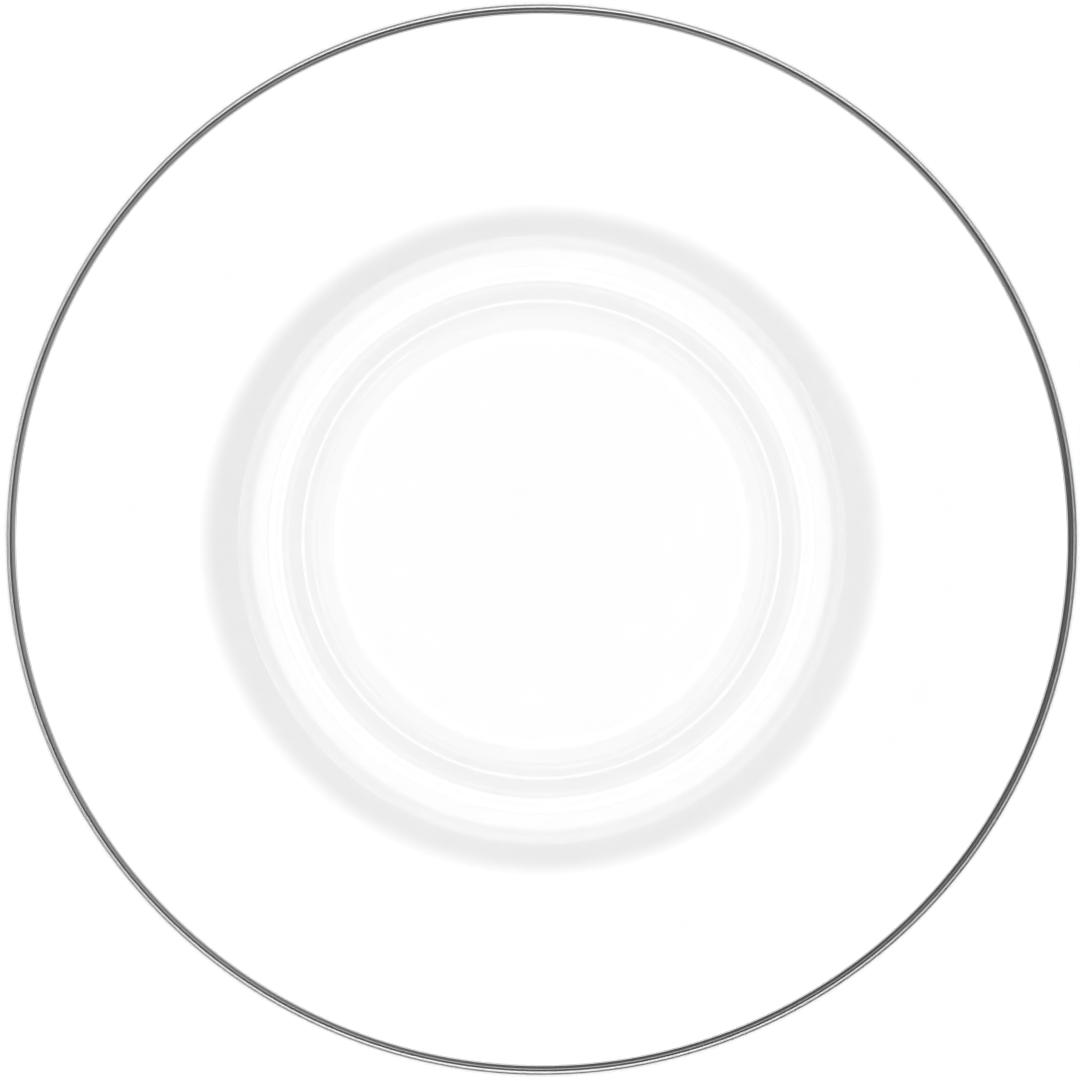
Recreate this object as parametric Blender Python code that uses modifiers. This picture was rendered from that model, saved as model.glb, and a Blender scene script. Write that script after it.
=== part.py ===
"""Clear pressed-glass saucer: one turned solid, in metres, +Z up.

The origin is on the axis, on the plane that the foot ring stands on.
"""

import math

import bpy

# Overall size
RIM_DIAMETER = 0.140
HEIGHT = 0.018

# Flange: the sloping border between the well and the rim
FLANGE_SLOPE = math.radians(13.8)
FLANGE_THICKNESS = 0.0027

# Rim: a rounded edge that leans in below, and a bead under it that stiffens the glass
RIM_TOP_RADIUS = 0.00136
RIM_LOW_RADIUS = 0.00044
RIM_LEAN = math.radians(18.5)
BEAD_DEPTH = 0.00097
BEAD_REACH = 0.00196
BEAD_FLANK = 0.00041
BEAD_FILLET = 0.00044
BEAD_ROOT_FILLET = 0.00059

# Well: the curved wall that drops from the flange to the flat seat for the cup
MOUTH_DIAMETER = 0.0909
SEAT_DIAMETER = 0.0719
WALL_THICKNESS = 0.0027
MOUTH_FILLET = 0.0205
SEAT_FILLET = 0.0178
MOUTH_UNDER_FILLET = 0.0340
HEEL_FILLET = 0.0030

# Base: the glass under the seat, the foot ring and the recess inside the ring
BASE_THICKNESS = 0.0030
FOOT_INSET = 0.00405
FOOT_HEIGHT = 0.0018
FOOT_FACE_WIDTH = 0.0004
FOOT_OUTER_FLANK = 0.0030
FOOT_INNER_FLANK = 0.0048
FOOT_OUTER_EDGE_FILLET = 0.0003
FOOT_INNER_EDGE_FILLET = 0.0004
FOOT_OUTER_FILLET = 0.0055
FOOT_INNER_FILLET = 0.0090

# Mesh fineness: steps round the axis, and the most that an arc's edges turn and measure
TURN_STEPS = 64
ARC_STEP = math.radians(12)
ARC_EDGE = 0.0018

GLASS_COLOUR = (0.93, 0.96, 0.96, 1.0)
GLASS_ROUGHNESS = 0.02
GLASS_IOR = 1.52


def clear_scene():
    for obj in list(bpy.data.objects):
        bpy.data.objects.remove(obj, do_unlink=True)


def meet(point_a, angle_a, point_b, angle_b):
    """Where a line through point_a at angle_a crosses one through point_b at angle_b."""
    ax, az = math.cos(angle_a), math.sin(angle_a)
    bx, bz = math.cos(angle_b), math.sin(angle_b)
    gap_x, gap_z = point_b[0] - point_a[0], point_b[1] - point_a[1]
    along = (gap_x * bz - gap_z * bx) / (ax * bz - az * bx)
    return point_a[0] + along * ax, point_a[1] + along * az


def below(point, angle, distance):
    """A point moved square to a line at this angle, to the line's lower side."""
    return point[0] + distance * math.sin(angle), point[1] - distance * math.cos(angle)


def on_flange(along, above):
    """A point in the flange's own directions, from where its top line would meet the rim."""
    sine, cosine = math.sin(FLANGE_SLOPE), math.cos(FLANGE_SLOPE)
    return along * cosine - above * sine, along * sine + above * cosine


def rounded(corners):
    """The points of an outline of (radius, height, fillet) corners, with an arc in place of each corner."""
    points = [corners[0][:2]]
    for before, corner, after in zip(corners, corners[1:], corners[2:]):
        x, z, radius = corner
        angle_in = math.atan2(z - before[1], x - before[0])
        angle_out = math.atan2(after[1] - z, after[0] - x)
        turn = math.remainder(angle_out - angle_in, math.tau)
        half = math.tan(abs(turn) / 2)
        room = 0.49 * min(math.dist(before[:2], (x, z)), math.dist((x, z), after[:2]))
        radius = min(radius, room / half)
        side = math.copysign(radius, turn)
        start_x = x - radius * half * math.cos(angle_in)
        start_z = z - radius * half * math.sin(angle_in)
        centre_x = start_x - side * math.sin(angle_in)
        centre_z = start_z + side * math.cos(angle_in)
        steps = max(2, math.ceil(abs(turn) / ARC_STEP), math.ceil(abs(turn) * radius / ARC_EDGE))
        for step in range(steps + 1):
            angle = angle_in + turn * step / steps
            points.append((centre_x + side * math.sin(angle), centre_z - side * math.cos(angle)))
    points.append(corners[-1][:2])
    return points


def rim_corners():
    """The rim's corners, from its upper edge to the bead's root, placed to touch the overall size."""
    edge = FLANGE_THICKNESS + BEAD_DEPTH
    corners = [
        (*on_flange(0.0, 0.0), RIM_TOP_RADIUS),
        (*on_flange(-edge * math.tan(RIM_LEAN), -edge), RIM_LOW_RADIUS),
        (*on_flange(-BEAD_REACH, -edge), BEAD_FILLET),
        (*on_flange(-BEAD_REACH - BEAD_FLANK, -FLANGE_THICKNESS), BEAD_ROOT_FILLET),
    ]
    inner = -RIM_DIAMETER / 4
    section = rounded([(*on_flange(inner, 0.0), 0.0), *corners, (*on_flange(inner, -FLANGE_THICKNESS), 0.0)])
    move_x = RIM_DIAMETER / 2 - max(x for x, z in section)
    move_z = HEIGHT - max(z for x, z in section)
    return [(x + move_x, z + move_z, fillet) for x, z, fillet in corners], (move_x, move_z)


def outline_corners():
    """The half section's corners, from the seat's centre over the rim to the centre of the recess."""
    rim, flange_end = rim_corners()
    flange_under = below(flange_end, FLANGE_SLOPE, FLANGE_THICKNESS)

    # Upper side of the well
    seat_height = FOOT_HEIGHT + BASE_THICKNESS
    seat = (SEAT_DIAMETER / 2, seat_height)
    mouth = meet(flange_end, FLANGE_SLOPE, (MOUTH_DIAMETER / 2, 0.0), math.pi / 2)
    wall_angle = math.atan2(mouth[1] - seat[1], mouth[0] - seat[0])

    # Under side of the well, at the wall's thickness
    wall_under = below(seat, wall_angle, WALL_THICKNESS)
    mouth_under = meet(flange_under, FLANGE_SLOPE, wall_under, wall_angle)
    heel = meet(wall_under, wall_angle, (0.0, FOOT_HEIGHT), 0.0)

    # Foot ring
    foot_outer = SEAT_DIAMETER / 2 - FOOT_INSET
    foot_inner = foot_outer - FOOT_FACE_WIDTH
    return [
        (0.0, seat_height, 0.0),
        (*seat, SEAT_FILLET),
        (*mouth, MOUTH_FILLET),
        *rim,
        (*mouth_under, MOUTH_UNDER_FILLET),
        (*heel, HEEL_FILLET),
        (foot_outer + FOOT_OUTER_FLANK, FOOT_HEIGHT, FOOT_OUTER_FILLET),
        (foot_outer, 0.0, FOOT_OUTER_EDGE_FILLET),
        (foot_inner, 0.0, FOOT_INNER_EDGE_FILLET),
        (foot_inner - FOOT_INNER_FLANK, FOOT_HEIGHT, FOOT_INNER_FILLET),
        (0.0, FOOT_HEIGHT, 0.0),
    ]


def glass_material():
    material = bpy.data.materials.new("clear_glass")
    material.use_nodes = True
    shader = material.node_tree.nodes["Principled BSDF"]
    shader.inputs["Base Color"].default_value = GLASS_COLOUR
    shader.inputs["Roughness"].default_value = GLASS_ROUGHNESS
    shader.inputs["IOR"].default_value = GLASS_IOR
    shader.inputs["Transmission Weight"].default_value = 1.0
    material.diffuse_color = GLASS_COLOUR
    return material


def make_saucer(collection):
    """The whole saucer, turned round the Z axis from its half section."""
    points = [(x, 0.0, z) for x, z in rounded(outline_corners())]
    edges = [(i, i + 1) for i in range(len(points) - 1)]
    mesh = bpy.data.meshes.new("saucer")
    mesh.from_pydata(points, edges, [])
    mesh.materials.append(glass_material())
    saucer = bpy.data.objects.new("saucer", mesh)
    collection.objects.link(saucer)

    turn = saucer.modifiers.new("turn", "SCREW")
    turn.axis = "Z"
    turn.angle = math.tau
    turn.steps = TURN_STEPS
    turn.render_steps = TURN_STEPS
    turn.use_merge_vertices = True
    turn.merge_threshold = 0.00001
    turn.use_smooth_shade = True
    return saucer


def main():
    clear_scene()
    collection = bpy.data.collections.new("glass_saucer")
    bpy.context.scene.collection.children.link(collection)
    make_saucer(collection)


if __name__ == "__main__":
    main()
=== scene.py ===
"""Looks of the clear-glass saucer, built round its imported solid.

The saucer is one press-moulded piece of glass. Its half section is drawn point by point in edit mode,
eased where the wall of the well bends, and spun round the axis. It stands on a plain white floor under a
soft sky that is dark near the horizon and dimmer straight overhead, so that the glass draws its own edges.
The camera looks straight down on it.
"""

from __future__ import annotations

import logging
import math
from dataclasses import dataclass, field
from enum import Enum

import bmesh
import bpy
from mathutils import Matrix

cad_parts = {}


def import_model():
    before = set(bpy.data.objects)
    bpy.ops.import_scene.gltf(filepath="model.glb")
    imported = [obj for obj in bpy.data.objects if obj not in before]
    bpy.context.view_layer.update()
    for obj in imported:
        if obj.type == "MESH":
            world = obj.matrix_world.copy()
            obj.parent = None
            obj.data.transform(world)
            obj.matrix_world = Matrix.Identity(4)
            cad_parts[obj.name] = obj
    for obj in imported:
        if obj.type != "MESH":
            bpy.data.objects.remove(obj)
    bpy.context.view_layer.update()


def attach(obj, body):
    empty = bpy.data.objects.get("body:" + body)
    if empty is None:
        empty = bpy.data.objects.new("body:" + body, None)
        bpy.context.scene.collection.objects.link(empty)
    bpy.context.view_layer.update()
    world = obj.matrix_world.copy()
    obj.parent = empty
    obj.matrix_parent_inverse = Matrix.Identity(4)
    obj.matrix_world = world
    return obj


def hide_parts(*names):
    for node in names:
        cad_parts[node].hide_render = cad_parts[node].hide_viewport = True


LOG = logging.getLogger("glass_saucer")
MM = 0.001
WHITE = (1.0, 1.0, 1.0, 1.0)

# The share of a straight that the arc at one of its ends may use, so that two arcs never meet
ARC_ROOM = 0.49

Point = tuple[float, float]


class RayKind(Enum):
    """The kinds of ray that the white of the studio is made for."""

    CAMERA = "Is Camera Ray"
    GLOSSY = "Is Glossy Ray"
    TRANSMISSION = "Is Transmission Ray"


@dataclass(frozen=True)
class Corner:
    """A corner of the half section, before it is rounded.

    Attributes:
        radius: Distance from the axis.
        height: Height above the plane that the foot stands on.
        fillet: Radius of the arc that takes the corner's place.
    """

    radius: float
    height: float
    fillet: float = 0.0

    @property
    def point(self) -> Point:
        """The corner's place in the half section."""
        return self.radius, self.height


def meet(point_a: Point, angle_a: float, point_b: Point, angle_b: float) -> Point:
    """Finds where two lines of the half section cross.

    Args:
        point_a: A point on the first line.
        angle_a: The first line's angle to the level.
        point_b: A point on the second line.
        angle_b: The second line's angle to the level.

    Returns:
        The crossing point.
    """
    ax, az = math.cos(angle_a), math.sin(angle_a)
    bx, bz = math.cos(angle_b), math.sin(angle_b)
    gap_x, gap_z = point_b[0] - point_a[0], point_b[1] - point_a[1]
    along = (gap_x * bz - gap_z * bx) / (ax * bz - az * bx)
    return point_a[0] + along * ax, point_a[1] + along * az


def below(point: Point, angle: float, distance: float) -> Point:
    """Moves a point square to a line, to the line's lower side.

    Args:
        point: The point to move.
        angle: The line's angle to the level.
        distance: How far to move it.

    Returns:
        The moved point.
    """
    return point[0] + distance * math.sin(angle), point[1] - distance * math.cos(angle)


@dataclass(frozen=True)
class Fineness:
    """How closely the points of an arc are set.

    Attributes:
        turn: The most that the outline turns from one point to the next.
        edge: The most that it measures from one point to the next.
        least_steps: The fewest steps that any arc has.
    """

    turn: float = math.radians(3.0)
    edge: float = 0.3 * MM
    least_steps: int = 2

    def steps(self, turn: float, fillet: float) -> int:
        """Counts the steps that an arc is drawn in.

        Args:
            turn: How far the arc turns.
            fillet: The arc's radius.

        Returns:
            The number of steps.
        """
        by_turn = math.ceil(turn / self.turn)
        by_edge = math.ceil(turn * fillet / self.edge)
        return max(self.least_steps, by_turn, by_edge)


def rounded(corners: list[Corner], fineness: Fineness) -> list[Point]:
    """Puts an arc in place of each inner corner of an outline.

    Args:
        corners: The outline's corners in order.
        fineness: How closely the arcs' points are set.

    Returns:
        The outline's points in order.
    """
    points = [corners[0].point]
    for before, corner, after in zip(corners, corners[1:], corners[2:]):
        angle_in = math.atan2(corner.height - before.height, corner.radius - before.radius)
        angle_out = math.atan2(after.height - corner.height, after.radius - corner.radius)
        turn = math.remainder(angle_out - angle_in, math.tau)
        half = math.tan(abs(turn) / 2)
        shorter = min(math.dist(before.point, corner.point), math.dist(corner.point, after.point))
        fillet = min(corner.fillet, ARC_ROOM * shorter / half)
        side = math.copysign(fillet, turn)
        start_x = corner.radius - fillet * half * math.cos(angle_in)
        start_z = corner.height - fillet * half * math.sin(angle_in)
        centre_x = start_x - side * math.sin(angle_in)
        centre_z = start_z + side * math.cos(angle_in)
        steps = fineness.steps(abs(turn), fillet)
        for step in range(steps + 1):
            angle = angle_in + turn * step / steps
            points.append((centre_x + side * math.sin(angle), centre_z - side * math.cos(angle)))
    points.append(corners[-1].point)
    return points


def graded(length: float, first: float, growth: float, largest: float) -> list[float]:
    """Spaces points along a straight, close together at its ends and wider in its middle.

    Args:
        length: The straight's length.
        first: The step next to either end.
        growth: How much longer each step is than the one before.
        largest: The longest step.

    Returns:
        The points' distances from the start, without the two ends.
    """
    near_start, step, reach = [], first, first
    while reach < length / 2 - step / 2:
        near_start.append(reach)
        step = min(step * growth, largest)
        reach += step
    return near_start + [length - d for d in reversed(near_start)]


@dataclass(frozen=True)
class Flange:
    """The sloping border between the well and the rim.

    Attributes:
        slope: Its angle to the level.
        thickness: The glass, measured square to the slope.
    """

    slope: float = math.radians(13.8)
    thickness: float = 2.7 * MM

    def place(self, along: float, above: float) -> Point:
        """Turns a point in the flange's own directions into the half section's.

        Args:
            along: Distance up the slope from where the top line would meet the rim's edge.
            above: Distance square to the top line.

        Returns:
            The point, measured from where the top line would meet the rim's edge.
        """
        sine, cosine = math.sin(self.slope), math.cos(self.slope)
        return along * cosine - above * sine, along * sine + above * cosine


@dataclass(frozen=True)
class Rim:
    """The rounded edge, which leans in below, and the bead under it that stiffens the glass.

    Attributes:
        diameter: The saucer's overall width.
        height: The saucer's overall height.
        top_radius: The rounding of the edge's upper corner.
        low_radius: The rounding of its lower corner.
        lean: How far the edge leans in below, from square to the flange.
        bead_depth: How far the bead stands out under the flange.
        bead_reach: How far it reaches in from the edge.
        bead_flank: How much further in its root is.
        bead_fillet: The rounding of its inner corner.
        bead_root_fillet: The rounding where it runs into the flange.
    """

    diameter: float = 140.0 * MM
    height: float = 18.0 * MM
    top_radius: float = 1.36 * MM
    low_radius: float = 0.44 * MM
    lean: float = math.radians(18.5)
    bead_depth: float = 0.97 * MM
    bead_reach: float = 1.96 * MM
    bead_flank: float = 0.41 * MM
    bead_fillet: float = 0.44 * MM
    bead_root_fillet: float = 0.59 * MM

    def corners(self, flange: Flange, fineness: Fineness) -> tuple[list[Corner], Point]:
        """Places the rim's corners so that the rounded rim touches the saucer's overall size.

        Args:
            flange: The border that the rim ends.
            fineness: How closely the arcs' points are set.

        Returns:
            The corners from the upper edge to the bead's root, and where the flange's top line ends.
        """
        edge = flange.thickness + self.bead_depth
        root = self.bead_reach + self.bead_flank
        drawn = [
            Corner(*flange.place(0.0, 0.0), self.top_radius),
            Corner(*flange.place(-edge * math.tan(self.lean), -edge), self.low_radius),
            Corner(*flange.place(-self.bead_reach, -edge), self.bead_fillet),
            Corner(*flange.place(-root, -flange.thickness), self.bead_root_fillet),
        ]

        # Both ends of the trial outline are far enough down the slope to be clear of the rim's arcs
        inner = -self.diameter / 4
        first = Corner(*flange.place(inner, 0.0))
        last = Corner(*flange.place(inner, -flange.thickness))
        outline = rounded([first, *drawn, last], fineness)
        move_x = self.diameter / 2 - max(x for x, _ in outline)
        move_z = self.height - max(z for _, z in outline)
        return [Corner(c.radius + move_x, c.height + move_z, c.fillet) for c in drawn], (move_x, move_z)


@dataclass(frozen=True)
class Well:
    """The curved wall that drops from the flange to the flat seat for the cup.

    Attributes:
        mouth_diameter: Where the wall's and the flange's top lines cross.
        seat_diameter: Where the wall's top line meets the seat.
        wall_thickness: The glass, measured square to the wall.
        mouth_fillet: The bend between the wall and the flange on the upper side.
        seat_fillet: The bend between the wall and the seat.
        mouth_under_fillet: The bend between the wall and the flange on the under side.
        heel_fillet: The bend between the wall and the base on the under side.
        ease_from: The radius from which the upper side is eased.
        ease_under_from: The radius from which the under side is eased.
        ease_to: The radius up to which both are eased.
        ease_factor: How far each pass moves a point towards the middle of its neighbours.
        ease_passes: How many passes are made.
    """

    mouth_diameter: float = 90.9 * MM
    seat_diameter: float = 71.9 * MM
    wall_thickness: float = 2.7 * MM
    mouth_fillet: float = 20.5 * MM
    seat_fillet: float = 17.8 * MM
    mouth_under_fillet: float = 34.0 * MM
    heel_fillet: float = 3.0 * MM
    ease_from: float = 28.0 * MM
    ease_under_from: float = 33.8 * MM
    ease_to: float = 56.0 * MM
    ease_factor: float = 0.5
    ease_passes: int = 60


@dataclass(frozen=True)
class Foot:
    """The glass under the seat, the ring that it stands on and the recess inside the ring.

    Attributes:
        base_thickness: The glass between the seat and the recess.
        diameter: The outer edge of the face that the ring stands on.
        height: How far the ring stands out under the base.
        face_width: The width of its face before the edges are rounded.
        outer_flank: How far its outer side runs out from the face to the base.
        inner_flank: How far its inner side runs in from the face to the recess.
        outer_edge_fillet: The rounding of the face's outer edge.
        inner_edge_fillet: The rounding of the face's inner edge.
        outer_fillet: The bend between the outer side and the base.
        inner_fillet: The bend between the inner side and the recess.
    """

    base_thickness: float = 3.0 * MM
    diameter: float = 63.8 * MM
    height: float = 1.8 * MM
    face_width: float = 0.4 * MM
    outer_flank: float = 3.0 * MM
    inner_flank: float = 4.8 * MM
    outer_edge_fillet: float = 0.3 * MM
    inner_edge_fillet: float = 0.4 * MM
    outer_fillet: float = 5.5 * MM
    inner_fillet: float = 9.0 * MM

    @property
    def seat_height(self) -> float:
        """The height of the seat above the plane that the foot stands on."""
        return self.height + self.base_thickness

    def corners(self) -> list[Corner]:
        """Lists the corners from the ring's outer root to the middle of the recess.

        Returns:
            The corners in the outline's order.
        """
        outer = self.diameter / 2
        inner = outer - self.face_width
        return [
            Corner(outer + self.outer_flank, self.height, self.outer_fillet),
            Corner(outer, 0.0, self.outer_edge_fillet),
            Corner(inner, 0.0, self.inner_edge_fillet),
            Corner(inner - self.inner_flank, self.height, self.inner_fillet),
            Corner(0.0, self.height),
        ]


@dataclass(frozen=True)
class ClearGlass:
    """Polished clear glass with the faint waves of a pressed surface and a trace of green in its depth.

    Attributes:
        name: The material's name.
        ior: The index of refraction.
        depth_tint: The colour that deep glass takes on.
        depth_density: How soon it takes it on.
        wave_scale: How closely the waves follow each other.
        wave_detail: How much finer waviness is on them.
        wave_height: How high they are.
        haze_scale: How small the patches of haze are.
        haze_detail: How much finer haze is in them.
        haze_from: The noise below which the polish is at its best.
        haze_to: The noise above which it is at its worst.
        haze_low: The roughness at best.
        haze_high: The roughness at worst.
    """

    name: str = "clear_glass"
    ior: float = 1.52
    depth_tint: tuple[float, float, float] = (0.80, 0.96, 0.94)
    depth_density: float = 3.0
    wave_scale: float = 70.0
    wave_detail: float = 1.0
    wave_height: float = 0.004 * MM
    haze_scale: float = 160.0
    haze_detail: float = 3.0
    haze_from: float = 0.35
    haze_to: float = 0.75
    haze_low: float = 0.0
    haze_high: float = 0.012

    def material(self) -> bpy.types.Material:
        """Makes the glass material.

        Returns:
            The new material.
        """
        made = bpy.data.materials.new(self.name)
        made.use_nodes = True
        tree = made.node_tree
        shader = tree.nodes["Principled BSDF"]
        shader.inputs["Base Color"].default_value = WHITE
        shader.inputs["IOR"].default_value = self.ior
        shader.inputs["Transmission Weight"].default_value = 1.0
        place = tree.nodes.new("ShaderNodeTexCoord").outputs["Object"]
        self._add_haze(tree, shader, place)
        self._add_waves(tree, shader, place)
        depth = tree.nodes.new("ShaderNodeVolumeAbsorption")
        depth.inputs["Color"].default_value = (*self.depth_tint, 1.0)
        depth.inputs["Density"].default_value = self.depth_density
        tree.links.new(depth.outputs["Volume"], tree.nodes["Material Output"].inputs["Volume"])
        return made

    def _add_haze(
        self, tree: bpy.types.NodeTree, shader: bpy.types.Node, place: bpy.types.NodeSocket
    ) -> None:
        """Varies the polish a little, as wiping leaves it.

        Args:
            tree: The material's nodes.
            shader: The glass shader.
            place: The socket with the object's coordinates.
        """
        haze = tree.nodes.new("ShaderNodeTexNoise")
        haze.inputs["Scale"].default_value = self.haze_scale
        haze.inputs["Detail"].default_value = self.haze_detail
        spread = tree.nodes.new("ShaderNodeMapRange")
        spread.inputs["From Min"].default_value = self.haze_from
        spread.inputs["From Max"].default_value = self.haze_to
        spread.inputs["To Min"].default_value = self.haze_low
        spread.inputs["To Max"].default_value = self.haze_high
        tree.links.new(place, haze.inputs["Vector"])
        tree.links.new(haze.outputs["Fac"], spread.inputs["Value"])
        tree.links.new(spread.outputs["Result"], shader.inputs["Roughness"])

    def _add_waves(
        self, tree: bpy.types.NodeTree, shader: bpy.types.Node, place: bpy.types.NodeSocket
    ) -> None:
        """Adds the slow waviness that the mould leaves on the surface.

        Args:
            tree: The material's nodes.
            shader: The glass shader.
            place: The socket with the object's coordinates.
        """
        waves = tree.nodes.new("ShaderNodeTexNoise")
        waves.inputs["Scale"].default_value = self.wave_scale
        waves.inputs["Detail"].default_value = self.wave_detail
        bump = tree.nodes.new("ShaderNodeBump")
        bump.inputs["Strength"].default_value = 1.0
        bump.inputs["Distance"].default_value = self.wave_height
        tree.links.new(place, waves.inputs["Vector"])
        tree.links.new(waves.outputs["Fac"], bump.inputs["Height"])
        tree.links.new(bump.outputs["Normal"], shader.inputs["Normal"])


@dataclass
class Saucer:
    """The saucer: one piece of glass, spun from its half section.

    Attributes:
        name: The piece's name.
        rim: Its edge.
        flange: Its border.
        well: The wall round its seat.
        foot: Its base.
        turn_steps: How many steps it is spun in.
        fineness: How closely the arcs' points are set.
        first_step: The step next to either end of a straight.
        step_growth: How much longer each further step of a straight is.
        largest_step: The longest step of a straight.
        weld: The distance within which points become one.
    """

    name: str = "saucer_glass"
    rim: Rim = field(default_factory=Rim)
    flange: Flange = field(default_factory=Flange)
    well: Well = field(default_factory=Well)
    foot: Foot = field(default_factory=Foot)
    turn_steps: int = 256
    fineness: Fineness = field(default_factory=Fineness)
    first_step: float = 0.3 * MM
    step_growth: float = 1.5
    largest_step: float = 4.0 * MM
    weld: float = 0.002 * MM

    def corners(self) -> list[Corner]:
        """Lists the half section's corners.

        Returns:
            The corners from the seat's middle over the rim to the middle of the recess.
        """
        rim, flange_end = self.rim.corners(self.flange, self.fineness)
        slope = self.flange.slope
        flange_under = below(flange_end, slope, self.flange.thickness)
        seat = (self.well.seat_diameter / 2, self.foot.seat_height)
        mouth = meet(flange_end, slope, (self.well.mouth_diameter / 2, 0.0), math.pi / 2)
        wall_angle = math.atan2(mouth[1] - seat[1], mouth[0] - seat[0])
        wall_under = below(seat, wall_angle, self.well.wall_thickness)
        mouth_under = meet(flange_under, slope, wall_under, wall_angle)
        heel = meet(wall_under, wall_angle, (0.0, self.foot.height), 0.0)
        return [
            Corner(0.0, self.foot.seat_height),
            Corner(*seat, self.well.seat_fillet),
            Corner(*mouth, self.well.mouth_fillet),
            *rim,
            Corner(*mouth_under, self.well.mouth_under_fillet),
            Corner(*heel, self.well.heel_fillet),
            *self.foot.corners(),
        ]

    def outline(self) -> list[Point]:
        """Works out the points that the half section is drawn through.

        Returns:
            The rounded outline, with points along its straights as well.
        """
        bends = rounded(self.corners(), self.fineness)
        points = [bends[0]]
        for (x0, z0), (x1, z1) in zip(bends, bends[1:]):
            length = math.dist((x0, z0), (x1, z1))
            for reach in graded(length, self.first_step, self.step_growth, self.largest_step):
                share = reach / length
                points.append((x0 + share * (x1 - x0), z0 + share * (z1 - z0)))
            points.append((x1, z1))
        return points

    def build(self) -> bpy.types.Object:
        """Draws the half section, eases the wall and spins it into the finished glass.

        Returns:
            The saucer's object.
        """
        piece = self._draw(self.outline())
        self._ease_wall(piece)
        self._spin()
        bpy.ops.object.mode_set(mode="OBJECT")
        bpy.ops.object.shade_smooth()
        return piece

    def dress(self, piece: bpy.types.Object, finish: ClearGlass) -> None:
        """Gives the piece its glass.

        Args:
            piece: The saucer's object.
            finish: The glass.
        """
        piece.data.materials.append(finish.material())

    def mount(self, piece: bpy.types.Object, node: str) -> None:
        """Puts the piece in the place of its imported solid.

        Args:
            piece: The saucer's object.
            node: The solid that it stands for.
        """
        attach(piece, "root")
        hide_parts(node)

    def _draw(self, points: list[Point]) -> bpy.types.Object:
        """Draws the outline as a chain of edges, by extruding one vertex from point to point.

        Args:
            points: The outline's points.

        Returns:
            The new object, in edit mode.
        """
        bpy.ops.object.select_all(action="DESELECT")
        bpy.ops.mesh.primitive_plane_add(size=self.first_step, location=(0.0, 0.0, 0.0))
        piece = bpy.context.active_object
        piece.name = piece.data.name = self.name
        bpy.ops.object.mode_set(mode="EDIT")
        bpy.ops.mesh.select_all(action="SELECT")
        bpy.ops.mesh.merge(type="CENTER")
        bpy.ops.transform.translate(value=(points[0][0], 0.0, points[0][1]))
        for (x0, z0), (x1, z1) in zip(points, points[1:]):
            bpy.ops.mesh.extrude_region_move(TRANSFORM_OT_translate={"value": (x1 - x0, 0.0, z1 - z0)})
        return piece

    def _ease_wall(self, piece: bpy.types.Object) -> None:
        """Smooths the drawn wall, so that its bends run into each other without a step in their curve.

        Args:
            piece: The drawn outline, in edit mode.
        """
        bpy.ops.mesh.select_all(action="DESELECT")
        mesh = bmesh.from_edit_mesh(piece.data)
        for vert in mesh.verts:
            above_seat = vert.co.z > self.foot.seat_height - self.weld
            start = self.well.ease_from if above_seat else self.well.ease_under_from
            vert.select_set(start < vert.co.x < self.well.ease_to)
        bmesh.update_edit_mesh(piece.data)
        bpy.ops.mesh.vertices_smooth(factor=self.well.ease_factor, repeat=self.well.ease_passes)

    def _spin(self) -> None:
        """Spins the drawn outline round the axis and closes the seam and the poles."""
        bpy.ops.mesh.select_all(action="SELECT")
        bpy.ops.mesh.spin(
            steps=self.turn_steps, angle=math.tau, center=(0.0, 0.0, 0.0), axis=(0.0, 0.0, 1.0)
        )
        bpy.ops.mesh.select_all(action="SELECT")
        bpy.ops.mesh.remove_doubles(threshold=self.weld)
        bpy.ops.mesh.normals_make_consistent(inside=False)


def smooth_step(value: float, low: float, high: float) -> float:
    """Runs from 0 to 1 between two values, slowly at either end.

    Args:
        value: Where to take it.
        low: Where it starts to rise from 0.
        high: Where it reaches 1.

    Returns:
        The height of the step there.
    """
    share = min(1.0, max(0.0, (value - low) / (high - low)))
    return share * share * (3.0 - 2.0 * share)


def step_node(tree: bpy.types.NodeTree, low: float, high: float, end: float) -> bpy.types.Node:
    """Adds a node that makes such a step, up or down to an end value.

    Args:
        tree: The nodes to add it to.
        low: Where the step starts.
        high: Where it ends.
        end: The value that it ends at.

    Returns:
        The new node, which starts at 0 until it is told otherwise.
    """
    made = tree.nodes.new("ShaderNodeMapRange")
    made.interpolation_type = "SMOOTHSTEP"
    made.inputs["From Min"].default_value = low
    made.inputs["From Max"].default_value = high
    made.inputs["To Max"].default_value = end
    return made


def combine(
    tree: bpy.types.NodeTree, operation: str, *values: bpy.types.NodeSocket | float
) -> bpy.types.NodeSocket:
    """Adds a math node and feeds it.

    Args:
        tree: The nodes to add it to.
        operation: What it does.
        values: The sockets or plain numbers that it takes, in order.

    Returns:
        The socket with the result.
    """
    made = tree.nodes.new("ShaderNodeMath")
    made.operation = operation
    for value, taken in zip(values, made.inputs):
        if isinstance(value, float):
            taken.default_value = value
        else:
            tree.links.new(value, taken)
    return made.outputs["Value"]


@dataclass(frozen=True)
class SideGlow:
    """A paler stretch of the dark horizon.

    Attributes:
        azimuth: Where its middle is, turned from +X towards +Y.
        spread: How far it fades out to either side.
        strength: How much it adds to the horizon.
    """

    azimuth: float
    spread: float
    strength: float


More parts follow.
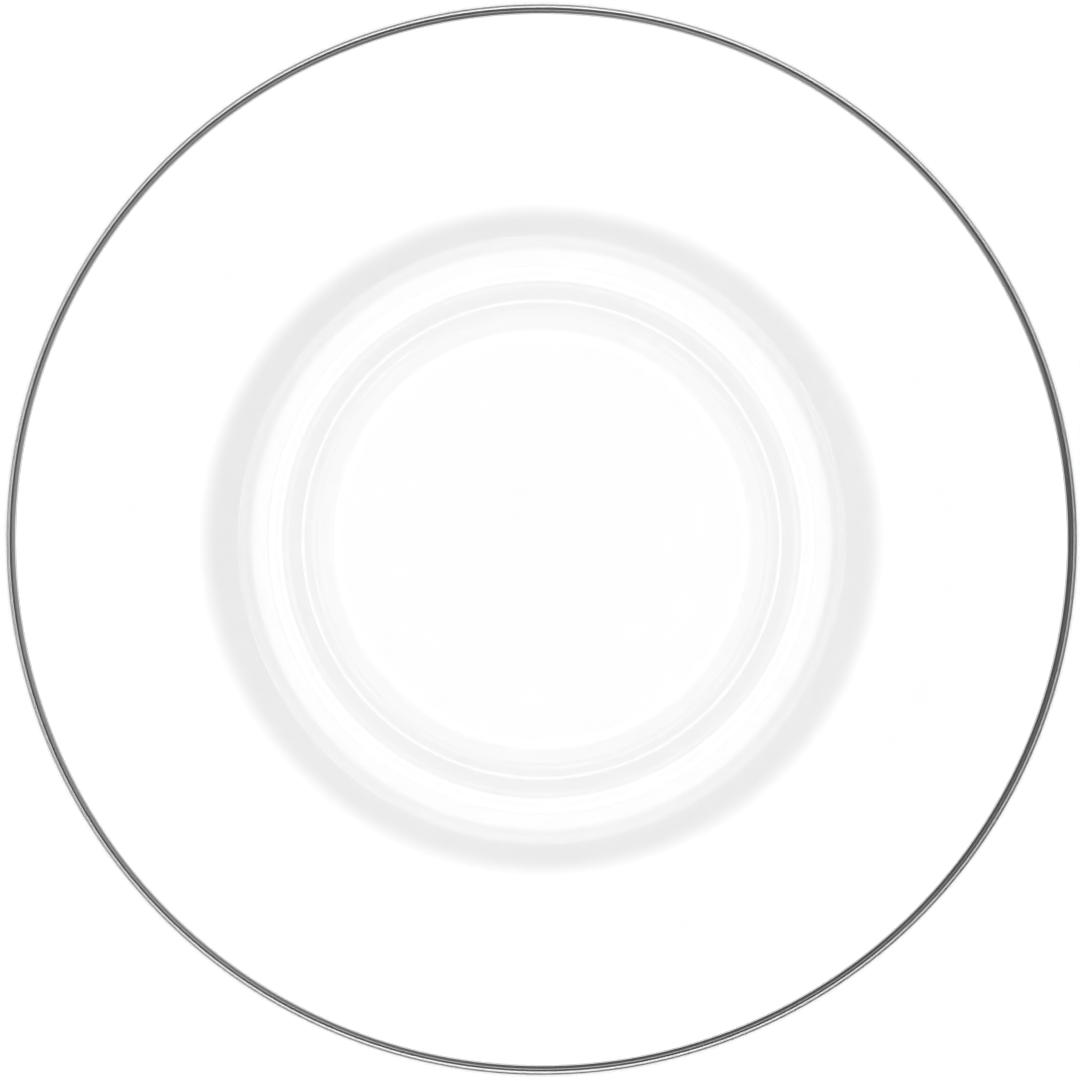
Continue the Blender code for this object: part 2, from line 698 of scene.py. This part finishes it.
@dataclass(frozen=True)
class Sky:
    """A ring of soft light that dims towards the zenith and fades to a dark horizon with paler stretches.

    Attributes:
        bank: The full strength of the ring.
        horizon: The strength at the horizon, away from the glows.
        fade_from: The elevation along Y where the ring starts to show.
        fade_to: The elevation along Y where it has its full strength.
        narrowing: How much higher its lower edge is along X.
        dim_from: The elevation where it starts to dim towards the zenith.
        dim_to: The elevation from which it is evenly dim.
        dim_share: The share of the strength that is left there.
        glows: The paler stretches of the horizon.
    """

    bank: float = 3.0
    horizon: float = 0.01
    fade_from: float = math.radians(18.0)
    fade_to: float = math.radians(40.0)
    narrowing: float = 0.1
    dim_from: float = math.radians(50.0)
    dim_to: float = math.radians(64.0)
    dim_share: float = 0.6
    glows: tuple[SideGlow, ...] = (
        SideGlow(math.radians(180.0), math.radians(100.0), 0.23),
        SideGlow(math.radians(50.0), math.radians(52.0), 0.25),
    )

    def level(self, x: float, z: float) -> float:
        """Gives the sky's strength in a direction, away from the glows.

        Args:
            x: The direction's share along X.
            z: The direction's share along Z.

        Returns:
            The strength.
        """
        height = z - self.narrowing * x * x
        shown = smooth_step(height, math.sin(self.fade_from), math.sin(self.fade_to))
        dimmed = smooth_step(z, math.sin(self.dim_from), math.sin(self.dim_to))
        left = 1.0 - (1.0 - self.dim_share) * dimmed
        return left * (self.horizon + (self.bank - self.horizon) * shown)

    def light_on_floor(self, rings: int = 60, sides: int = 60) -> float:
        """Adds up the light that a level floor gets.

        Args:
            rings: How many heights are added up.
            sides: How many directions are added up at each height.

        Returns:
            The strength of an even sky that gives the same light.
        """
        total = 0.0
        for ring in range(rings):
            z = (ring + 0.5) / rings
            flat = math.sqrt(1.0 - z * z)
            turns = (math.tau * (side + 0.5) / sides for side in range(sides))
            total += 2.0 * z * sum(self.level(flat * math.cos(turn), z) for turn in turns)
        return total / (rings * sides)

    def build(self) -> bpy.types.World:
        """Makes the world's nodes. The camera itself sees plain white where the floor ends.

        Returns:
            The new world.
        """
        world = bpy.data.worlds.new("soft_sky")
        world.use_nodes = True
        tree = world.node_tree
        tree.nodes.clear()
        direction = tree.nodes.new("ShaderNodeTexCoord").outputs["Generated"]
        split = tree.nodes.new("ShaderNodeSeparateXYZ")
        tree.links.new(direction, split.inputs["Vector"])
        fade = step_node(tree, math.sin(self.fade_from), math.sin(self.fade_to), self.bank)
        tree.links.new(self._height(tree, split), fade.inputs["Value"])
        tree.links.new(self._horizon(tree, direction), fade.inputs["To Min"])
        sky = tree.nodes.new("ShaderNodeBackground")
        sky.inputs["Color"].default_value = WHITE
        tree.links.new(self._dimmed(tree, split, fade.outputs["Result"]), sky.inputs["Strength"])
        white = tree.nodes.new("ShaderNodeBackground")
        white.inputs["Color"].default_value = WHITE
        white.inputs["Strength"].default_value = 1.0
        rays = tree.nodes.new("ShaderNodeLightPath")
        pick = tree.nodes.new("ShaderNodeMixShader")
        tree.links.new(rays.outputs[RayKind.CAMERA.value], pick.inputs["Fac"])
        tree.links.new(sky.outputs["Background"], pick.inputs[1])
        tree.links.new(white.outputs["Background"], pick.inputs[2])
        out = tree.nodes.new("ShaderNodeOutputWorld")
        tree.links.new(pick.outputs["Shader"], out.inputs["Surface"])
        bpy.context.scene.world = world
        return world

    def _height(self, tree: bpy.types.NodeTree, split: bpy.types.Node) -> bpy.types.NodeSocket:
        """Takes the height that is looked at, less what narrows the ring along X.

        Args:
            tree: The world's nodes.
            split: The node with the parts of the direction that is looked in.

        Returns:
            The socket with the lowered height.
        """
        square = combine(tree, "MULTIPLY", split.outputs["X"], split.outputs["X"])
        return combine(tree, "MULTIPLY_ADD", square, -self.narrowing, split.outputs["Z"])

    def _dimmed(
        self, tree: bpy.types.NodeTree, split: bpy.types.Node, level: bpy.types.NodeSocket
    ) -> bpy.types.NodeSocket:
        """Dims the sky towards the zenith.

        Args:
            tree: The world's nodes.
            split: The node with the parts of the direction that is looked in.
            level: The socket with the strength before it is dimmed.

        Returns:
            The socket with the dimmed strength.
        """
        left = step_node(tree, math.sin(self.dim_from), math.sin(self.dim_to), self.dim_share)
        left.inputs["To Min"].default_value = 1.0
        tree.links.new(split.outputs["Z"], left.inputs["Value"])
        return combine(tree, "MULTIPLY", level, left.outputs["Result"])

    def _horizon(
        self, tree: bpy.types.NodeTree, direction: bpy.types.NodeSocket
    ) -> bpy.types.NodeSocket:
        """Adds the glows to the horizon's own strength.

        Args:
            tree: The world's nodes.
            direction: The socket with the direction that is looked in.

        Returns:
            The socket with the horizon's strength in that direction.
        """
        level = tree.nodes.new("ShaderNodeValue")
        level.outputs["Value"].default_value = self.horizon
        total = level.outputs["Value"]
        for glow in self.glows:
            facing = tree.nodes.new("ShaderNodeVectorMath")
            facing.operation = "DOT_PRODUCT"
            facing.inputs[1].default_value = (math.cos(glow.azimuth), math.sin(glow.azimuth), 0.0)
            fade = step_node(tree, math.cos(glow.spread), 1.0, glow.strength)
            tree.links.new(direction, facing.inputs[0])
            tree.links.new(facing.outputs["Value"], fade.inputs["Value"])
            total = combine(tree, "ADD", total, fade.outputs["Result"])
        return total


@dataclass(frozen=True)
class Floor:
    """A plain white floor. Part of its white is lit, and so keeps the saucer's shadow.

    Attributes:
        size: Its width.
        depth: How far it is below the foot.
        white: How bright it is seen.
        lit_share: The share of that which comes from the sky.
    """

    size: float = 12.0
    depth: float = 0.02 * MM
    white: float = 1.07
    lit_share: float = 0.35

    def build(self) -> bpy.types.Object:
        """Makes the floor, a hair below the foot.

        Returns:
            The floor's object.
        """
        bpy.ops.object.select_all(action="DESELECT")
        bpy.ops.mesh.primitive_plane_add(size=self.size, location=(0.0, 0.0, -self.depth))
        made = bpy.context.active_object
        made.name = made.data.name = "floor"
        return made

    def dress(self, floor: bpy.types.Object, sky: Sky) -> None:
        """Gives the floor its white.

        Args:
            floor: The floor's object.
            sky: The sky that lights it.
        """
        made = bpy.data.materials.new("white_floor")
        made.use_nodes = True
        tree = made.node_tree
        tree.nodes.clear()
        matt = tree.nodes.new("ShaderNodeBsdfDiffuse")
        grey = self.lit_share * self.white / sky.light_on_floor()
        matt.inputs["Color"].default_value = (grey, grey, grey, 1.0)
        glow = tree.nodes.new("ShaderNodeEmission")
        rays = tree.nodes.new("ShaderNodeLightPath")
        seen = rays.outputs[RayKind.CAMERA.value]
        for kind in (RayKind.GLOSSY, RayKind.TRANSMISSION):
            seen = combine(tree, "MAXIMUM", seen, rays.outputs[kind.value])
        strength = combine(tree, "MULTIPLY", seen, (1.0 - self.lit_share) * self.white)
        tree.links.new(strength, glow.inputs["Strength"])
        both = tree.nodes.new("ShaderNodeAddShader")
        tree.links.new(matt.outputs["BSDF"], both.inputs[0])
        tree.links.new(glow.outputs["Emission"], both.inputs[1])
        out = tree.nodes.new("ShaderNodeOutputMaterial")
        tree.links.new(both.outputs["Shader"], out.inputs["Surface"])
        floor.data.materials.append(made)


@dataclass(frozen=True)
class PhotoCamera:
    """A camera straight above the saucer, framed as in the photograph.

    Attributes:
        distance: How far it is above the rim's widest line.
        rim_pixels: The rim's radius in the photograph.
        half_width_pixels: Half of the photograph's width.
        offset_pixels: How far the frame's middle is from the axis, to the right and up.
        sensor: The sensor's width, in Blender's millimetres.
        clip_end: How far the camera sees.
    """

    distance: float = 0.9
    rim_pixels: float = 538.5
    half_width_pixels: float = 540.0
    offset_pixels: Point = (-1.6, -0.9)
    sensor: float = 36.0
    clip_end: float = 100.0

    def build(self, rim: Rim) -> bpy.types.Object:
        """Makes the camera and sets it as the scene's.

        Args:
            rim: The rim that the frame is fitted to.

        Returns:
            The camera's object.
        """
        per_pixel = rim.diameter / 2 / self.rim_pixels
        data = bpy.data.cameras.new("photo_camera")
        data.sensor_fit = "HORIZONTAL"
        data.sensor_width = self.sensor
        data.lens = self.sensor * self.distance / (2.0 * per_pixel * self.half_width_pixels)
        data.clip_end = self.clip_end
        made = bpy.data.objects.new("photo_camera", data)
        right, up = (pixels * per_pixel for pixels in self.offset_pixels)
        made.location = (right, up, rim.height - rim.top_radius + self.distance)
        bpy.context.scene.collection.objects.link(made)
        bpy.context.scene.camera = made
        return made


def main() -> None:
    """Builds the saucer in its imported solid's place, and the studio round it."""
    logging.basicConfig(level=logging.INFO, format="%(name)s: %(message)s")
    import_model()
    bpy.context.scene.view_settings.view_transform = "Standard"

    saucer = Saucer()
    PhotoCamera().build(saucer.rim)
    piece = saucer.build()
    saucer.dress(piece, ClearGlass())
    saucer.mount(piece, "saucer")
    LOG.info("%s: %d vertices, %d faces", piece.name, len(piece.data.vertices), len(piece.data.polygons))

    sky = Sky()
    sky.build()
    floor = Floor()
    plane = floor.build()
    floor.dress(plane, sky)
    LOG.info("floor lit at %.3f", sky.light_on_floor())


if __name__ == "__main__":
    main()
